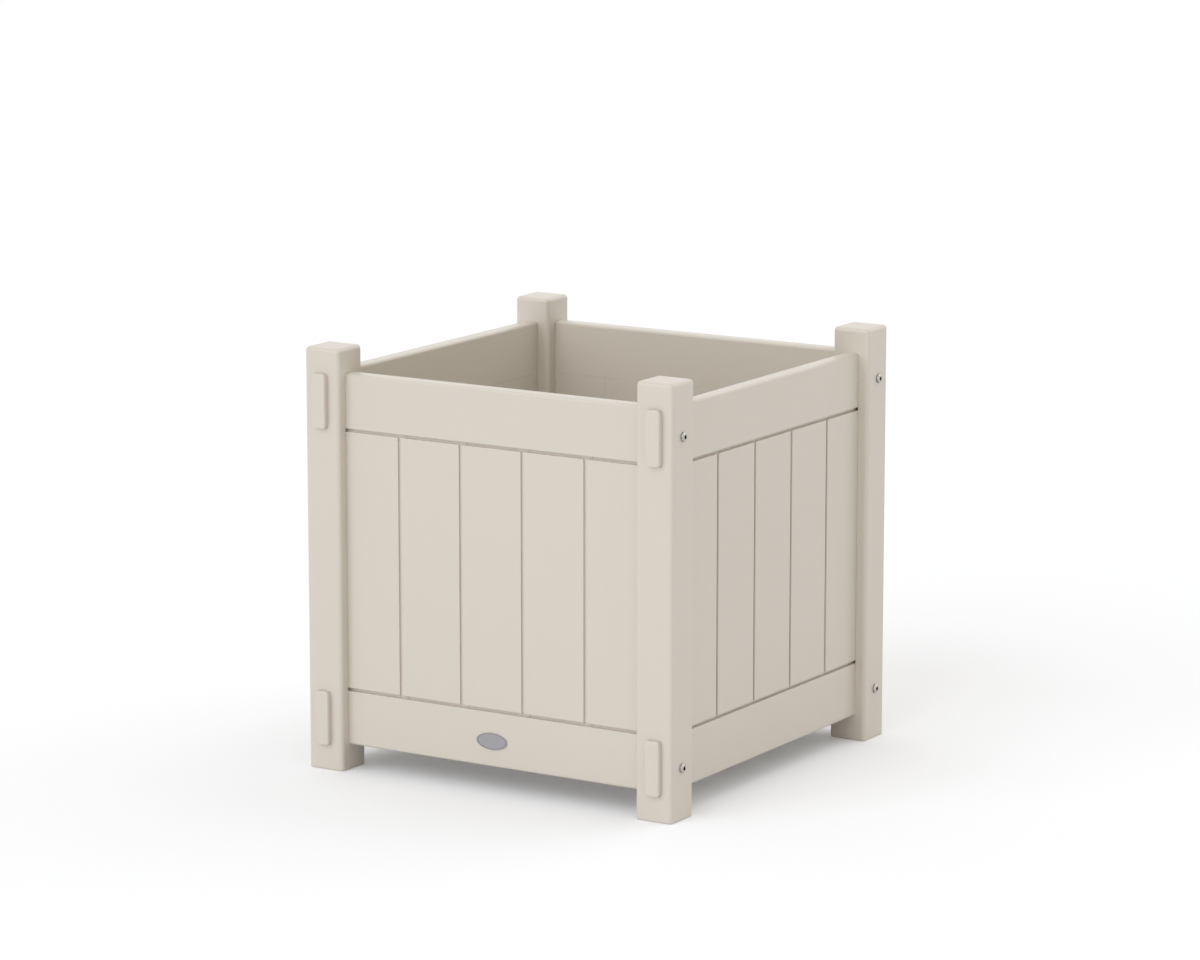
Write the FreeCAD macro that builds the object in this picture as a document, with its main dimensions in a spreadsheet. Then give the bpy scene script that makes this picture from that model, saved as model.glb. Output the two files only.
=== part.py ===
import FreeCAD, Part
import Sketcher
import os
import re

# Square planter box of composite boards: four corner posts, a framed panel of upright boards
# on each side and a slatted floor on two cleats.
# The origin is on the ground under the middle of the box, +Z is up and the front faces -Y.
# All lengths are in millimetres.

BOARDS_PER_SIDE = 5
FLOOR_SLATS = 5

# The driving dimensions: name, value, meaning
SIZES = [
    ("height", 508, "ground to the top of the posts"),
    ("width", 503.6, "over the posts, left to right"),
    ("depth", 503.6, "over the posts, front to back"),
    ("board_thickness", 19.05, "rails, boards, cleats and slats"),
    ("post_cheek", 13.4, "post left standing outside the panels"),
    ("post_web", 6.65, "post left between a tenon and the housing beside it"),
    ("housing_depth", 9.3, "how far boards and short rails enter a post"),
    ("post_round", 4.8, "rounding of the upright and top edges of a post"),
    ("foot_round", 2, "rounding round the foot of a post"),
    ("rail_height", 65.3, "height of a rail"),
    ("rail_drop", 30.1, "top of the posts down to the upper rails"),
    ("foot_gap", 31, "ground up to the lower rails"),
    ("rail_round", 3.2, "rounding of the free edges of a rail between the posts"),
    ("tenon_round", 4.8, "rounding of the corners of a tenon"),
    ("tenon_end_round", 2, "rounding round the face of a tenon's end"),
    ("tenon_reach", 6.8, "how far a side rail stands out of its posts"),
    ("mortise_round", 4, "rounding in the corners of a mortise"),
    ("mortise_clearance", 0.05, "play on each side of a tenon"),
    ("reveal", 4, "width of the channels round the boards"),
    ("reveal_depth", 4, "depth of the channels between rails and boards"),
    ("seam_depth", 2.4, "depth of the channels between two boards"),
    ("tongue_thickness", 6, "thickness of a tongue"),
    ("tongue_length", 6, "how far a tongue enters its groove"),
    ("groove_spare", 0.2, "space left in front of a tongue"),
    ("joint_clearance", 0.15, "play on each side of a joint or a screw"),
    ("floor_clearance", 1, "space round the floor"),
    ("drain_gap", 6, "gap between two floor slats"),
    ("cleat_height", 31.75, "height of a floor cleat"),
    ("cleat_lift", 4.6, "underside of the side rails up to the cleats"),
    ("fitting_drop", 1.9, "middle of the lower rails down to their screws and the plate"),
    ("screw_length", 76.2, "frame screw under its head"),
    ("screw_shank", 6.35, "frame screw, diameter"),
    ("screw_head", 11.1, "frame screw, head diameter"),
    ("screw_head_height", 3.35, "frame screw, height of the button head"),
    ("screw_head_round", 2.4, "frame screw, rounding of the button head"),
    ("socket_size", 3.97, "frame screw, hexagon socket across flats"),
    ("socket_depth", 2.1, "frame screw, depth of the socket"),
    ("wood_screw_shank", 4.2, "countersunk screws, diameter"),
    ("wood_screw_head", 8.4, "countersunk screws, head diameter"),
    ("slat_screw_length", 38.1, "screws through the slats, over all"),
    ("cleat_screw_length", 31.75, "screws through the cleats, over all"),
    ("recess_size", 2.6, "countersunk screws, square recess"),
    ("recess_depth", 1.8, "countersunk screws, depth of the recess"),
    ("plate_length", 42, "oval plate, long way"),
    ("plate_width", 20, "oval plate, short way"),
    ("plate_thickness", 1.2, "oval plate"),
    ("plate_rim", 1.3, "width of the raised rim of the plate"),
    ("plate_rim_height", 0.3, "height of the rim over the plate's face"),
    ("stud_size", 3, "diameter of the two studs behind the plate"),
    ("stud_length", 6, "length of the studs"),
    ("stud_spacing", 24, "distance between the studs"),
]

# Two lengths are the same place when they differ by less than this share of the height
SAME_PLACE_SHARE = 0.00001

doc = FreeCAD.newDocument("planter_box")
sheet = doc.addObject("Spreadsheet::Sheet", "sizes")
for row, (name, value, meaning) in enumerate(SIZES, start=1):
    sheet.set(f"A{row}", name)
    sheet.set(f"B{row}", str(value))
    sheet.setAlias(f"B{row}", name)
    sheet.set(f"C{row}", meaning)
doc.recompute()

NAMES = {name for name, value, meaning in SIZES}


# Formulas are written with the plain names of the sizes

POST = "(post_cheek + board_thickness + post_web + housing_depth)"
POST_CENTRE_LINE = "(post_cheek + board_thickness / 2)"
WALL_INSIDE = "(post_cheek + board_thickness)"
BACK_SHOULDER = "(reveal_depth + tongue_thickness)"

# Heights of the rails: the joint lines are where boards and rails meet behind the channels
RAIL_TOP = "(height - rail_drop)"
UPPER_JOINT = "(height - rail_drop - rail_height)"
LOWER_JOINT = "(foot_gap + rail_height)"
UPPER_RAIL_MIDDLE = "(height - rail_drop - rail_height / 2)"
LOWER_RAIL_MIDDLE = "(foot_gap + rail_height / 2)"
LOWER_SCREW_LINE = "(foot_gap + rail_height / 2 - fitting_drop)"

# The floor
CLEAT_BOTTOM = "(foot_gap + cleat_lift)"
SLAT_BOTTOM = "(foot_gap + cleat_lift + cleat_height)"
SLAT_TOP = "(foot_gap + cleat_lift + cleat_height + board_thickness)"
FLOOR_HALF_WIDTH = f"(width / 2 - {WALL_INSIDE} - floor_clearance)"
FLOOR_HALF_DEPTH = f"(depth / 2 - {WALL_INSIDE} - floor_clearance)"
SLAT_PITCH = f"((2 * {FLOOR_HALF_DEPTH} + drain_gap) / {FLOOR_SLATS})"
FIRST_SLAT_MIDDLE = f"(-{FLOOR_HALF_DEPTH} + ({SLAT_PITCH} - drain_gap) / 2)"
FIRST_GAP_MIDDLE = f"(-{FLOOR_HALF_DEPTH} + {SLAT_PITCH} - drain_gap / 2)"
CLEAT_MIDDLE = "(foot_gap + cleat_lift + cleat_height / 2)"
CLEAT_CENTRE_LINE = f"({WALL_INSIDE} + board_thickness / 2)"

# Each side: the size along it, the size across to the side opposite, its turn about Z,
# and the signs that lead from the middle of the box out to it
SIDES = {
    "front": ("width", "depth", 0, (0, -1)),
    "right": ("depth", "width", 90, (1, 0)),
    "back": ("width", "depth", 180, (0, 1)),
    "left": ("depth", "width", 270, (-1, 0)),
}

# Each post: its turn about Z, the signs of its corner, and the axis of its own frame along
# which the side rails pass through it
POSTS = {
    "front_left": (0, (-1, -1), "y"),
    "front_right": (90, (1, -1), "x"),
    "back_right": (180, (1, 1), "y"),
    "back_left": (270, (-1, 1), "x"),
}

# The origin plane that faces along each axis; only the XZ plane faces the negative way
PLANES = {"x": "YZ_Plane", "y": "XZ_Plane", "z": "XY_Plane"}


def in_sheet(formula):
    """The formula with each size written as a cell of the sheet."""
    return re.sub(r"[a-z_]+", lambda word: "sizes." + word[0] if word[0] in NAMES else word[0], formula)


def value_of(formula):
    """The formula's value with the sizes as they stand."""
    return float(sheet.evalExpression(in_sheet(formula)))


def bind(target, path, formula):
    target.setExpression(path, in_sheet(formula))


def new_body(label, turn=0, x="0", y="0"):
    """An empty body, turned about Z and placed by formulas."""
    body = doc.addObject("PartDesign::Body", label)
    body.Label = label
    body.Placement = FreeCAD.Placement(FreeCAD.Vector(), FreeCAD.Rotation(FreeCAD.Vector(0, 0, 1), turn))
    bind(body, "Placement.Base.x", x)
    bind(body, "Placement.Base.y", y)
    return body


def side_body(label, side):
    """A body in the frame of one side: X along it, Y inwards from the face of its boards."""
    span, across, turn, out = SIDES[side]
    reach = f"({across} / 2 - post_cheek)"
    return new_body(label, turn, f"{out[0]} * {reach}", f"{out[1]} * {reach}")


def origin_part(body, role):
    return next(part for part in body.Origin.OriginFeatures if part.Role == role)


def faces_back(sketch):
    """True where the sketch's plane faces the negative way along its axis."""
    return sketch.AttachmentSupport[0][0].Role == "XZ_Plane"


def sketch_across(body, name, axis, at="0", shift=("0", "0")):
    """A sketch square to an axis, at a place along it, with its zero shifted in the plane."""
    sketch = body.newObject("Sketcher::SketchObject", f"{body.Label}_{name}")
    sketch.AttachmentSupport = [(origin_part(body, PLANES[axis]), "")]
    sketch.MapMode = "FlatFace"
    bind(sketch, "AttachmentOffset.Base.x", shift[0])
    bind(sketch, "AttachmentOffset.Base.y", shift[1])
    bind(sketch, "AttachmentOffset.Base.z", f"-({at})" if faces_back(sketch) else at)
    return sketch


def hold(sketch, kind, geometry, corner, formula):
    """Hold one coordinate of a point of the sketch at a formula's value."""
    number = sketch.addConstraint(Sketcher.Constraint(kind, -1, 1, geometry, corner, value_of(formula)))
    bind(sketch, f"Constraints[{number}]", formula)


def outline(sketch, corners):
    """A closed outline of straight lines through corners that are given as formulas."""
    start = sketch.GeometryCount
    points = [FreeCAD.Vector(value_of(x), value_of(y), 0) for x, y in corners]
    for index, point in enumerate(points):
        sketch.addGeometry(Part.LineSegment(point, points[(index + 1) % len(points)]), False)
    for index, (x, y) in enumerate(corners):
        line = start + index
        before = start + (index - 1) % len(corners)
        x_before, y_before = corners[index - 1]
        sketch.addConstraint(Sketcher.Constraint("Coincident", before, 2, line, 1))
        if x == x_before:
            sketch.addConstraint(Sketcher.Constraint("Vertical", before))
        else:
            hold(sketch, "DistanceX", line, 1, x)
        if y == y_before:
            sketch.addConstraint(Sketcher.Constraint("Horizontal", before))
        else:
            hold(sketch, "DistanceY", line, 1, y)


def rectangle(sketch, low_x, low_y, high_x, high_y):
    outline(sketch, [(low_x, low_y), (high_x, low_y), (high_x, high_y), (low_x, high_y)])


def circle(sketch, x, y, diameter):
    centre = FreeCAD.Vector(value_of(x), value_of(y), 0)
    number = sketch.GeometryCount
    sketch.addGeometry(Part.Circle(centre, FreeCAD.Vector(0, 0, 1), value_of(diameter) / 2), False)
    hold(sketch, "DistanceX", number, 3, x)
    hold(sketch, "DistanceY", number, 3, y)
    size = sketch.addConstraint(Sketcher.Constraint("Diameter", number, value_of(diameter)))
    bind(sketch, f"Constraints[{size}]", diameter)


def ellipse(sketch, length, width):
    """An ellipse about the sketch's zero, its long way along the sketch's X."""
    half_length = value_of(length) / 2
    half_width = value_of(width) / 2
    centre = FreeCAD.Vector(0, 0, 0)
    along = FreeCAD.Vector(half_length, 0, 0)
    across = FreeCAD.Vector(0, half_width, 0)
    sketch.addGeometry(Part.Ellipse(along, across, centre), False)
    sketch.exposeInternalGeometry(0)
    sketch.addConstraint(Sketcher.Constraint("Coincident", 0, 3, -1, 1))
    sketch.addConstraint(Sketcher.Constraint("Horizontal", 1))
    for line, formula in ((1, length), (2, width)):
        number = sketch.addConstraint(Sketcher.Constraint("Distance", line, value_of(formula)))
        bind(sketch, f"Constraints[{number}]", formula)


def pad(body, sketch, length, toward="plus"):
    """Pad the sketch towards plus or minus along its axis, or half each way for both."""
    feature = body.newObject("PartDesign::Pad", f"{sketch.Name}_pad")
    feature.Profile = sketch
    bind(feature, "Length", length)
    feature.Midplane = toward == "both"
    feature.Reversed = faces_back(sketch) if toward == "plus" else not faces_back(sketch)
    return feature


def pocket(body, sketch, length=None, toward="both"):
    """Cut the sketch out towards plus, minus or both; without a length, all the way through."""
    feature = body.newObject("PartDesign::Pocket", f"{sketch.Name}_pocket")
    feature.Profile = sketch
    if length is None:
        feature.Type = "ThroughAll"
    else:
        bind(feature, "Length", length)
    feature.Midplane = toward == "both"
    feature.Reversed = faces_back(sketch) if toward == "minus" else not faces_back(sketch)
    return feature


def fillet(body, name, radius, test):
    """Round the edges of the body's last feature whose bounding boxes pass the test."""
    doc.recompute()
    base = body.Tip
    edges = [f"Edge{number}" for number, edge in enumerate(base.Shape.Edges, start=1) if test(edge.BoundBox)]
    feature = body.newObject("PartDesign::Fillet", f"{body.Label}_{name}")
    feature.Base = (base, edges)
    bind(feature, "Radius", radius)
    return feature


def mirrored(body, feature):
    """Repeat a feature on the other side of the body's YZ plane."""
    copy = body.newObject("PartDesign::Mirrored", f"{feature.Name}_mirrored")
    copy.Originals = [feature]
    copy.MirrorPlane = (origin_part(body, "YZ_Plane"), [""])
    body.Tip = copy
    return copy


def same(first, second):
    return abs(first - second) < SAME_PLACE_SHARE * value_of("height")


def turned(body, sketch, axis):
    """Turn the sketch a full round about its own horizontal or vertical axis."""
    feature = body.newObject("PartDesign::Revolution", f"{sketch.Name}_turned")
    feature.Profile = sketch
    feature.ReferenceAxis = (sketch, [axis])
    feature.Angle = 360
    return feature


def panel_half(side):
    """Half the width of a side's panel, with what stands in the housings."""
    return f"({SIDES[side][0]} / 2 - post_cheek - board_thickness - post_web)"


# Posts

def cut_mortises(body, through):
    """The two mortises in which the side rails pass through the post."""
    sketch = sketch_across(body, "mortises", through)
    low_x = "post_cheek - mortise_clearance"
    high_x = f"{WALL_INSIDE} + mortise_clearance"
    rectangle(sketch, low_x, "foot_gap", high_x, f"{LOWER_JOINT} + mortise_clearance")
    rectangle(sketch, low_x, UPPER_JOINT, high_x, f"{RAIL_TOP} + mortise_clearance")
    pocket(body, sketch)
    size = value_of(POST)
    length = {"x": "XLength", "y": "YLength"}[through]
    fillet(body, "mortise_corners", "mortise_round", lambda box: same(getattr(box, length), size))


def cut_board_housing(body, through):
    """The housing between the mortises for the boards of the side panel."""
    sketch = sketch_across(body, "board_housing", through, POST)
    rectangle(
        sketch,
        "post_cheek - joint_clearance",
        LOWER_RAIL_MIDDLE,
        f"{WALL_INSIDE} + joint_clearance",
        UPPER_RAIL_MIDDLE,
    )
    pocket(body, sketch, "housing_depth + joint_clearance", "minus")


def cut_panel_housing(body, across):
    """The stopped housing for the whole panel of the front or back, rails and boards."""
    sketch = sketch_across(body, "panel_housing", across, POST)
    rectangle(
        sketch,
        "post_cheek - joint_clearance",
        "foot_gap",
        f"{WALL_INSIDE} + joint_clearance",
        f"{RAIL_TOP} + joint_clearance",
    )
    depth = "housing_depth + joint_clearance"
    pocket(body, sketch, depth, "minus")
    length = {"x": "XLength", "y": "YLength"}[across]
    depth_now = value_of(depth)
    fillet(body, "panel_housing_corners", "rail_round", lambda box: same(getattr(box, length), depth_now))


def drill_frame_screw_holes(body, across):
    """Holes for the frame screws, from the outer side face into the panel housing."""
    sketch = sketch_across(body, "frame_screw_holes", across)
    for height in (LOWER_SCREW_LINE, UPPER_RAIL_MIDDLE):
        circle(sketch, POST_CENTRE_LINE, height, "screw_shank + 2 * joint_clearance")
    pocket(body, sketch)


def make_post(place):
    """A corner post in its own frame: the origin at its outer corner, X and Y inwards."""
    turn, (side_x, side_y), through = POSTS[place]
    across = "x" if through == "y" else "y"
    body = new_body(f"post_{place}", turn, f"{side_x} * width / 2", f"{side_y} * depth / 2")
    sketch = sketch_across(body, "section", "z")
    rectangle(sketch, "0", "0", POST, POST)
    pad(body, sketch, "height")
    top = value_of("height")
    fillet(body, "soft_edges", "post_round", lambda box: same(box.ZMax, top))
    fillet(body, "soft_foot", "foot_round", lambda box: same(box.ZMax, 0))
    cut_mortises(body, through)
    cut_board_housing(body, through)
    cut_panel_housing(body, across)
    drill_frame_screw_holes(body, across)
    return body


# Rails

def rail_heights(level):
    """Free edge, joint edge, screw line and the sign from the joint into the rail."""
    if level == "top":
        return RAIL_TOP, UPPER_JOINT, UPPER_RAIL_MIDDLE, "+"
    return "foot_gap", LOWER_JOINT, LOWER_SCREW_LINE, "-"


def cut_rail_groove(body, side, level):
    """The groove that takes the tongues at the ends of the boards."""
    free, joint, screw_line, inwards = rail_heights(level)
    sketch = sketch_across(body, "groove", "x")
    rectangle(
        sketch,
        "reveal_depth - joint_clearance",
        joint,
        f"{BACK_SHOULDER} + joint_clearance",
        f"{joint} {inwards} (tongue_length + groove_spare)",
    )
    pocket(body, sketch, f"2 * {panel_half(side)}")


def make_short_rail(side, level):
    """A rail of the front or back, whose ends stand in the housings of the posts."""
    free, joint, screw_line, inwards = rail_heights(level)
    half = panel_half(side)
    body = side_body(f"rail_{level}_{side}", side)
    sketch = sketch_across(body, "section", "x")
    rectangle(sketch, "0", free, "board_thickness", joint)
    pad(body, sketch, f"2 * {half}", "both")
    edge_height = value_of(free)
    fillet(
        body,
        "soft_edges",
        "rail_round",
        lambda box: same(box.ZMin, edge_height) and same(box.ZMax, edge_height) and same(box.YLength, 0),
    )
    cut_rail_groove(body, side, level)
    ends = sketch_across(body, "screw_hole", "x", half)
    circle(ends, "board_thickness / 2", screw_line, "screw_shank + 2 * joint_clearance")
    depth = f"screw_length - {WALL_INSIDE} - post_web + joint_clearance"
    mirrored(body, pocket(body, ends, depth, "minus"))
    return body


def drill_stud_holes(body):
    """Two holes in the face of the lower front rail for the studs of the plate."""
    sketch = sketch_across(body, "stud_holes", "y")
    for sign in ("-", "+"):
        circle(
            sketch,
            f"{sign} stud_spacing / 2",
            LOWER_SCREW_LINE,
            "stud_size + 2 * joint_clearance",
        )
    pocket(body, sketch, "stud_length + joint_clearance", "plus")


def make_through_rail(side, level):
    """A rail of the left or right, which passes through both its posts and stands out of them."""
    free, joint, screw_line, inwards = rail_heights(level)
    body = side_body(f"rail_{level}_{side}", side)
    whole = sketch_across(body, "section", "x")
    rectangle(whole, "0", free, "board_thickness", joint)
    pad(body, whole, "depth + 2 * tenon_reach", "both")
    fillet(body, "tenon_corners", "tenon_round", lambda box: same(box.YLength + box.ZLength, 0))
    fillet(body, "soft_ends", "tenon_end_round", lambda box: same(box.XLength, 0))
    # Between the posts the edge beside the boards is square and the free edges are rounded less
    between = sketch_across(body, "between_posts", "x")
    rectangle(between, "0", free, "board_thickness", joint)
    length = f"depth - 2 * {POST}"
    pad(body, between, length, "both")
    length_now = value_of(length)
    edge_height = value_of(free)
    fillet(
        body,
        "soft_edges",
        "rail_round",
        lambda box: same(box.XLength, length_now) and same(box.ZMin, edge_height) and same(box.ZMax, edge_height),
    )
    cut_rail_groove(body, side, level)
    holes = sketch_across(body, "frame_screw_holes", "y")
    for sign in ("-", "+"):
        circle(
            holes,
            f"{sign} (depth / 2 - {POST_CENTRE_LINE})",
            screw_line,
            "screw_shank + 2 * joint_clearance",
        )
    pocket(body, holes)
    return body


def drill_cleat_screw_holes(body):
    """Holes in the inside of a lower side rail for the screws that hold the cleat."""
    sketch = sketch_across(body, "cleat_screw_holes", "y", "board_thickness")
    for number in range(FLOOR_SLATS - 1):
        circle(
            sketch,
            f"{FIRST_GAP_MIDDLE} + {number} * {SLAT_PITCH}",
            CLEAT_MIDDLE,
            "wood_screw_shank + 2 * joint_clearance",
        )
    pocket(body, sketch, "cleat_screw_length - board_thickness + joint_clearance", "minus")


# Boards

def board_plan(side, number):
    """Corners of a board seen from above: a groove on its left edge, a tongue on its right.

    The outer boards are plain on the edge that stands in the post."""
    half = panel_half(side)
    pitch = f"2 * {half} / {BOARDS_PER_SIDE}"
    left = f"(-{half} + {number - 1} * {pitch} + reveal / 2)"
    right = f"(-{half} + {number} * {pitch} + reveal / 2)"
    if number == 1:
        left = f"(-{half})"
    if number == BOARDS_PER_SIDE:
        right = half
    corners = [(left, "0")]
    if number == BOARDS_PER_SIDE:
        corners += [(right, "0"), (right, "board_thickness")]
    else:
        shoulder = f"{right} - reveal"
        tip = f"{right} + tongue_length"
        corners += [(shoulder, "0"), (shoulder, "seam_depth"), (tip, "seam_depth")]
        corners += [(tip, BACK_SHOULDER), (right, BACK_SHOULDER), (right, "board_thickness")]
    corners += [(left, "board_thickness")]
    if number > 1:
        bottom = f"{left} + tongue_length + groove_spare"
        behind = f"{BACK_SHOULDER} + joint_clearance"
        front = "seam_depth - joint_clearance"
        corners += [(left, behind), (bottom, behind), (bottom, front), (left, front)]
    return corners


def make_board(side, number):
    """An upright board with a tongue at each end that stands in the groove of a rail."""
    body = side_body(f"board_{side}_{number}", side)
    foot = f"{LOWER_JOINT} - tongue_length"
    head = f"{UPPER_JOINT} + tongue_length"
    plan = sketch_across(body, "plan", "z", foot)
    outline(plan, board_plan(side, number))
    pad(body, plan, f"{head} - ({foot})")
    ends = sketch_across(body, "end_shoulders", "x")
    rectangle(ends, "0", foot, "reveal_depth", f"{LOWER_JOINT} + reveal")
    rectangle(ends, "0", f"{UPPER_JOINT} - reveal", "reveal_depth", head)
    rectangle(ends, BACK_SHOULDER, foot, "board_thickness", LOWER_JOINT)
    rectangle(ends, BACK_SHOULDER, UPPER_JOINT, "board_thickness", head)
    pocket(body, ends)
    return body


# Floor

def countersunk_holes(body, sketch, axis_reversed):
    """Countersunk holes through the piece at the circles of the sketch."""
    doc.recompute()
    feature = body.newObject("PartDesign::Hole", f"{sketch.Name}_countersunk")
    feature.Profile = sketch
    feature.DepthType = "ThroughAll"
    feature.Threaded = False
    feature.ThreadType = "None"
    feature.HoleCutType = "Countersink"
    feature.HoleCutCountersinkAngle = 90
    feature.Reversed = axis_reversed
    bind(feature, "Diameter", "wood_screw_shank + 2 * joint_clearance")
    bind(feature, "HoleCutDiameter", "wood_screw_head + 2 * joint_clearance")
    return feature


def make_cleat(side):
    """A cleat on the inside of a lower side rail, which carries the ends of the slats."""
    body = side_body(f"floor_cleat_{side}", side)
    half = f"(depth / 2 - {POST} - floor_clearance)"
    sketch = sketch_across(body, "face", "y", "board_thickness")
    rectangle(sketch, f"-{half}", CLEAT_BOTTOM, half, SLAT_BOTTOM)
    pad(body, sketch, "board_thickness")
    screws = sketch_across(body, "screw_holes", "y", "2 * board_thickness")
    for number in range(FLOOR_SLATS - 1):
        circle(screws, f"{FIRST_GAP_MIDDLE} + {number} * {SLAT_PITCH}", CLEAT_MIDDLE, "wood_screw_shank")
    countersunk_holes(body, screws, True)
    pilots = sketch_across(body, "pilot_holes", "z", SLAT_BOTTOM)
    for number in range(FLOOR_SLATS):
        circle(
            pilots,
            f"{FIRST_SLAT_MIDDLE} + {number} * {SLAT_PITCH}",
            "board_thickness + board_thickness / 2",
            "wood_screw_shank + 2 * joint_clearance",
        )
    pocket(body, pilots, "slat_screw_length - board_thickness + joint_clearance", "minus")
    return body


def slat_plan(number):
    """Corners of a slat seen from above; the outer slats are notched round the posts."""
    front = f"(-{FLOOR_HALF_DEPTH} + {number - 1} * {SLAT_PITCH})"
    back = f"{front} + {SLAT_PITCH} - drain_gap"
    if number > 1:
        return [
            (f"-{FLOOR_HALF_WIDTH}", front),
            (FLOOR_HALF_WIDTH, front),
            (FLOOR_HALF_WIDTH, back),
            (f"-{FLOOR_HALF_WIDTH}", back),
        ]
    notch_x = f"(width / 2 - {POST} - floor_clearance)"
    notch_y = f"-(depth / 2 - {POST} - floor_clearance)"
    return [
        (f"-{notch_x}", front),
        (notch_x, front),
        (notch_x, notch_y),
        (FLOOR_HALF_WIDTH, notch_y),
        (FLOOR_HALF_WIDTH, back),
        (f"-{FLOOR_HALF_WIDTH}", back),
        (f"-{FLOOR_HALF_WIDTH}", notch_y),
        (f"-{notch_x}", notch_y),
    ]


def make_slat(number):
    """A floor slat; those behind the middle are the front ones turned round."""
    behind_middle = number > (FLOOR_SLATS + 1) / 2
    pattern = FLOOR_SLATS + 1 - number if behind_middle else number
    body = new_body(f"floor_slat_{number}", 180 if behind_middle else 0)
    plan = sketch_across(body, "plan", "z", SLAT_BOTTOM)
    outline(plan, slat_plan(pattern))
    pad(body, plan, "board_thickness")
    holes = sketch_across(body, "screw_holes", "z", SLAT_TOP)
    for sign in ("-", "+"):
        circle(
            holes,
            f"{sign} (width / 2 - {CLEAT_CENTRE_LINE})",
            f"{FIRST_SLAT_MIDDLE} + {pattern - 1} * {SLAT_PITCH}",
            "wood_screw_shank",
        )
    countersunk_holes(body, holes, False)
    return body


# Screws and plate

def repeat(body, name, copies, spacing, axis, mirror_planes):
    """Repeat the whole body in a row along an axis and mirror the row about the planes."""
    doc.recompute()
    feature = body.newObject("PartDesign::MultiTransform", f"{body.Label}_{name}")
    feature.TransformMode = "Whole shape"
    steps = []
    row = body.newObject("PartDesign::LinearPattern", f"{body.Label}_{name}_row")
    row.Direction = (origin_part(body, axis), [""])
    row.Mode = "Spacing"
    row.Occurrences = copies
    bind(row, "Offset", spacing)
    steps.append(row)
    for plane in mirror_planes:
        mirror = body.newObject("PartDesign::Mirrored", f"{body.Label}_{name}_{plane}")
        mirror.MirrorPlane = (origin_part(body, plane), [""])
        steps.append(mirror)
    feature.Transformations = steps
    body.Tip = feature
    return feature


def hexagon(sketch, across_flats):
    """A hexagon about the sketch's zero, two of its sides level."""
    corner = f"{across_flats} / sqrt(3)"
    near = f"{across_flats} / (2 * sqrt(3))"
    flat = f"{across_flats} / 2"
    outline(
        sketch,
        [
            (corner, "0"),
            (near, flat),
            (f"-{near}", flat),
            (f"-{corner}", "0"),
            (f"-{near}", f"-{flat}"),
            (near, f"-{flat}"),
        ],
    )


def make_frame_screws():
    """Button-head screws through the sides of the posts into the ends of the short rails."""
    body = new_body("frame_screws")
    row = f"-(depth / 2 - {POST_CENTRE_LINE})"
    face = "-width / 2"
    top = "-width / 2 - screw_head_height"
    tip = "-width / 2 + screw_length"
    tip_start = "-width / 2 + screw_length - screw_shank / 4"
    profile = sketch_across(body, "profile", "y", row, ("0", LOWER_SCREW_LINE))
    outline(
        profile,
        [
            (top, "0"),
            (tip, "0"),
            (tip, "screw_shank / 4"),
            (tip_start, "screw_shank / 2"),
            (face, "screw_shank / 2"),
            (face, "screw_head / 2"),
            (top, "screw_head / 2"),
        ],
    )
    turned(body, profile, "H_Axis")
    top_now = value_of(top)
    fillet(body, "button", "screw_head_round", lambda box: same(box.XMax, top_now) and box.YLength > 0)
    socket = sketch_across(body, "socket", "x", top, (row, LOWER_SCREW_LINE))
    hexagon(socket, "socket_size")
    pocket(body, socket, "socket_depth", "plus")
    spacing = f"{UPPER_RAIL_MIDDLE} - {LOWER_SCREW_LINE}"
    repeat(body, "all", 2, spacing, "Z_Axis", ["YZ_Plane", "XZ_Plane"])
    return body


def countersunk_profile(length, start, way):
    """Corners of half a countersunk screw as (along, from the axis), from its head's face."""
    cone = "(wood_screw_head - wood_screw_shank) / 2"
    return [
        (start, "0"),
        (start, "wood_screw_head / 2"),
        (f"{start} {way} {cone}", "wood_screw_shank / 2"),
        (f"{start} {way} ({length} - wood_screw_shank)", "wood_screw_shank / 2"),
        (f"{start} {way} {length}", "0"),
    ]


def make_slat_screws():
    """Countersunk screws that hold both ends of each slat down on the cleats."""
    body = new_body("slat_screws")
    column = f"-(width / 2 - {CLEAT_CENTRE_LINE})"
    profile = sketch_across(body, "profile", "y", FIRST_SLAT_MIDDLE, (column, "0"))
    corners = countersunk_profile("slat_screw_length", SLAT_TOP, "-")
    outline(profile, [(radius, along) for along, radius in corners])
    turned(body, profile, "V_Axis")
    recess = sketch_across(body, "recess", "z", SLAT_TOP, (column, FIRST_SLAT_MIDDLE))
    rectangle(recess, "-recess_size / 2", "-recess_size / 2", "recess_size / 2", "recess_size / 2")
    pocket(body, recess, "recess_depth", "minus")
    repeat(body, "all", FLOOR_SLATS, SLAT_PITCH, "Y_Axis", ["YZ_Plane"])
    return body


def make_cleat_screws():
    """Countersunk screws that hold the cleats to the lower side rails."""
    body = new_body("cleat_screws")
    start = f"-(width / 2 - {WALL_INSIDE} - board_thickness)"
    profile = sketch_across(body, "profile", "y", FIRST_GAP_MIDDLE, ("0", CLEAT_MIDDLE))
    outline(profile, countersunk_profile("cleat_screw_length", start, "-"))
    turned(body, profile, "H_Axis")
    recess = sketch_across(body, "recess", "x", start, (FIRST_GAP_MIDDLE, CLEAT_MIDDLE))
    rectangle(recess, "-recess_size / 2", "-recess_size / 2", "recess_size / 2", "recess_size / 2")
    pocket(body, recess, "recess_depth", "minus")
    repeat(body, "all", FLOOR_SLATS - 1, SLAT_PITCH, "Y_Axis", ["YZ_Plane"])
    return body


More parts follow.
